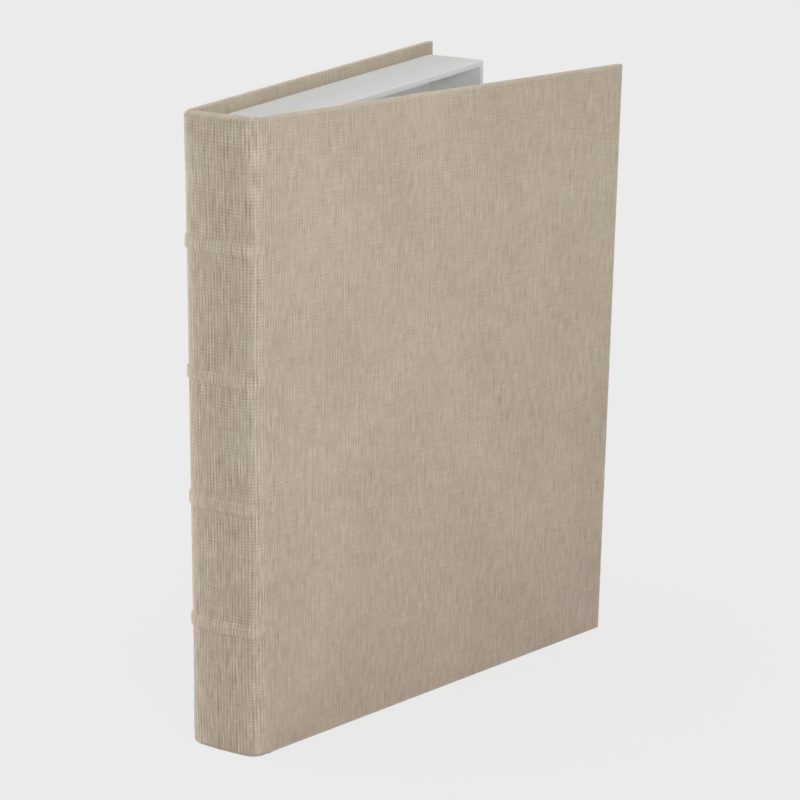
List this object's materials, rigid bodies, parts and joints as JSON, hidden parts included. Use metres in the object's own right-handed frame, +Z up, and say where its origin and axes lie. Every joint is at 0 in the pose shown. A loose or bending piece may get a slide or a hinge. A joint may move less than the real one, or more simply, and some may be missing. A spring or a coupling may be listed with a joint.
{
  "type": "clamshell book box",
  "caption": "Book-shaped clamshell box of linen over board: a shallow paper-lined tray on the back cover, a flat front cover that swings on cloth joints, and a rounded spine with raised bands.",
  "frame": {"origin": "middle of the footprint of the box as it stands on its tail edge with the front cover part open, on the surface it stands on", "axes": "+Z up, from tail to head; +X along the back cover from the spine to the fore-edge; +Y out of the back cover's outer face"},
  "size_m": [0.2407, 0.118, 0.308],
  "materials": {
    "book_linen": "matt natural linen book cloth with slubs",
    "binders_board": "grey-brown rolled board, hidden under cloth and paper",
    "white_lining_paper": "matt white paper"
  },
  "bodies": {
    "back_cover": {"back_cover_board": "binders_board", "back_cover_cloth": "book_linen", "back_hinge_lining": "book_linen", "tray_base": "binders_board", "tray_head_wall": "binders_board", "tray_tail_wall": "binders_board", "tray_spine_wall": "binders_board", "tray_fore_edge_wall": "binders_board", "tray_wrap_paper": "white_lining_paper", "tray_floor_paper": "white_lining_paper"},
    "spine": {"spine_board": "binders_board", "raised_band_1": "binders_board", "raised_band_2": "binders_board", "raised_band_3": "binders_board", "raised_band_4": "binders_board", "spine_cloth": "book_linen", "spine_lining": "book_linen"},
    "front_cover": {"front_cover_board": "binders_board", "front_cover_cloth": "book_linen", "front_hinge_lining": "book_linen", "front_lining_paper": "white_lining_paper"}
  },
  "joints": [
    {"name": "back_joint", "type": "hinge", "parent": "back_cover", "child": "spine", "pos_m": [-0.10923, 0.05894, 0.154], "axis": [0, 0, -1], "range_deg": [0, 90]},
    {"name": "front_joint", "type": "hinge", "parent": "spine", "child": "front_cover", "pos_m": [-0.10923, 0.01814, 0.154], "axis": [0, 0, -1], "range_deg": [-19.7, 70.3]}
  ]
}
